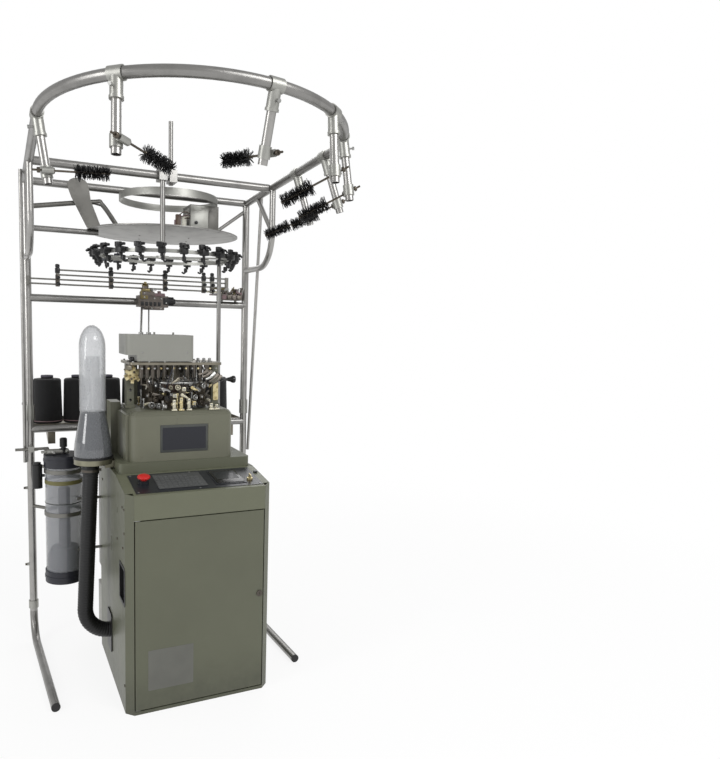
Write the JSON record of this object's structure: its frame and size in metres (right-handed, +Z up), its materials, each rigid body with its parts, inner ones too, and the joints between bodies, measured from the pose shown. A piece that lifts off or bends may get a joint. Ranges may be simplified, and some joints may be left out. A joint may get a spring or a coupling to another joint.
{
  "type": "circular sock knitting machine",
  "caption": "Computerised circular sock knitting machine: cabinet with sloped console, knitting head, suction tube, filter canister and a tall tube yarn stand with ring, brushes and disc.",
  "frame": {"origin": "centre of the cabinet's footprint on the floor", "axes": "+X to the right seen from the door side, +Y from the door to the rear, +Z up"},
  "size_m": [1.1311, 1.6789, 2.2042],
  "materials": {
    "body_paint": "olive grey enamel, satin",
    "console_paint": "olive grey enamel, satin",
    "head_paint": "olive grey enamel on cast iron, satin",
    "box_paint": "pale grey enamel, satin",
    "fascia": "dark navy film panel",
    "cover": "warm grey enamel, satin",
    "plate": "worn machined plate",
    "red": "red",
    "brass": "machined",
    "steel": "machined",
    "tube": "satin stainless tube",
    "tube_bright": "bright stainless tube",
    "clamp": "plain",
    "black": "black",
    "rubber": "black",
    "belt": "black",
    "dark_metal": "dark oiled",
    "dial": "brown cap",
    "clear": "clear acrylic",
    "smoke": "smoked acrylic",
    "milk": "translucent plastic",
    "navy": "navy caps",
    "yarn": "wound black yarn",
    "disc": "satin sheet"
  },
  "bodies": {
    "frame": {"cabinet_shell": "body_paint", "rear_boxes": "box_paint", "console": "console_paint", "console_fascia": "fascia", "bed_plate": "head_paint", "hinge_pins": "steel", "side_handle": "black", "drive_motor": "dark_metal", "drive_belt": "belt", "delivery_pipe": "steel", "head_casting": "head_paint", "cam_ring": "dark_metal", "selector_units": "dark_metal", "top_plate": "plate", "top_box": "cover", "head_columns": "head_paint", "brass_plates": "brass", "air_cylinders": "steel", "suction_dome": "clear", "suction_cone": "smoke", "suction_rings": "brass", "suction_seals": "rubber", "suction_hose": "rubber", "canister": "milk", "canister_caps": "navy", "canister_bracket": "steel", "canister_fittings": "black", "top_ring": "tube", "posts": "tube_bright", "floor_tubes": "tube", "cross_tubes": "tube", "side_braces": "tube_bright", "tube_plugs": "black", "tube_clamps": "clamp", "drop_tubes": "tube_bright", "brushes": "black", "thumb_screws": "black", "disc_hangers": "tube_bright", "hoop": "tube_bright", "disc_plate": "disc", "disc_brackets": "plate", "guide_ring": "tube_bright", "yarn_guides": "black", "guide_rod_rack": "tube_bright", "yarn_shelf": "plate", "yarn_packages": "yarn", "feeder_body": "plate", "feed_tubes": "steel"},
    "door": {"front_door": "body_paint"},
    "lock": {"door_lock": "steel"},
    "estop": {"estop_button": "red"},
    "key": {"key_switch": "brass"},
    "cylinder": {"needle_cylinder": "steel"},
    "dial": {"dial": "dial"},
    "motor_pulley": {"motor_pulley": "steel"},
    "feeder_wheel": {"feeder_wheel": "black"},
    "lift_handle": {"lift_handle": "black"},
    "fingers_left": {"finger_set_left": "steel"},
    "fingers_right": {"finger_set_right": "steel"},
    "regulator": {"regulator_knob": "black"}
  },
  "joints": [
    {"name": "door_hinge", "type": "hinge", "parent": "frame", "child": "door", "pos_m": [-0.234, -0.294, 0.36], "axis": [0, 0, -1], "range_deg": [0, 105]},
    {"name": "door_lock_turn", "type": "hinge", "parent": "door", "child": "lock", "pos_m": [0.226, -0.29, 0.385], "axis": [0, 1, 0], "range_deg": [0, 90]},
    {"name": "estop_press", "type": "slide", "parent": "frame", "child": "estop", "axis": [0, 0.1538, -0.9881], "range_m": [0, 0.004], "stiffness_N_per_m": 1500},
    {"name": "key_turn", "type": "hinge", "parent": "frame", "child": "key", "pos_m": [0.205, -0.23342, 0.81441], "axis": [0, -0.1538, 0.9881], "range_deg": [0, 90]},
    {"name": "cylinder_spin", "type": "hinge", "parent": "frame", "child": "cylinder", "pos_m": [-0.005, 0.1, 1], "axis": [0, 0, 1], "continuous": true},
    {"name": "dial_spin", "type": "hinge", "parent": "frame", "child": "dial", "pos_m": [-0.005, 0.1, 1.14], "axis": [0, 0, 1], "continuous": true},
    {"name": "motor_spin", "type": "hinge", "parent": "frame", "child": "motor_pulley", "pos_m": [0.135, 0.1, 0.87], "axis": [0, 0, 1], "continuous": true},
    {"name": "feeder_wheel_spin", "type": "hinge", "parent": "frame", "child": "feeder_wheel", "pos_m": [0.044, 0.423, 1.494], "axis": [1, 0, 0], "continuous": true},
    {"name": "handle_turn", "type": "hinge", "parent": "frame", "child": "lift_handle", "pos_m": [0.16, 0.09, 1.168], "axis": [1, 0, 0], "range_deg": [-90, 90]},
    {"name": "finger_left_swing", "type": "hinge", "parent": "frame", "child": "fingers_left", "pos_m": [-0.093, 0.1, 1.204], "axis": [0, -1, 0], "range_deg": [0, 12]},
    {"name": "finger_right_swing", "type": "hinge", "parent": "frame", "child": "fingers_right", "pos_m": [0.083, 0.1, 1.204], "axis": [0, 1, 0], "range_deg": [0, 12]},
    {"name": "regulator_turn", "type": "hinge", "parent": "frame", "child": "regulator", "pos_m": [-0.413, 0.34, 0.864], "axis": [0, 0, 1], "range_deg": [0, 270]}
  ],
  "couplings": [
    {"joint": "dial_spin", "follows": "cylinder_spin", "ratio": 1},
    {"joint": "motor_spin", "follows": "cylinder_spin", "ratio": 3}
  ]
}
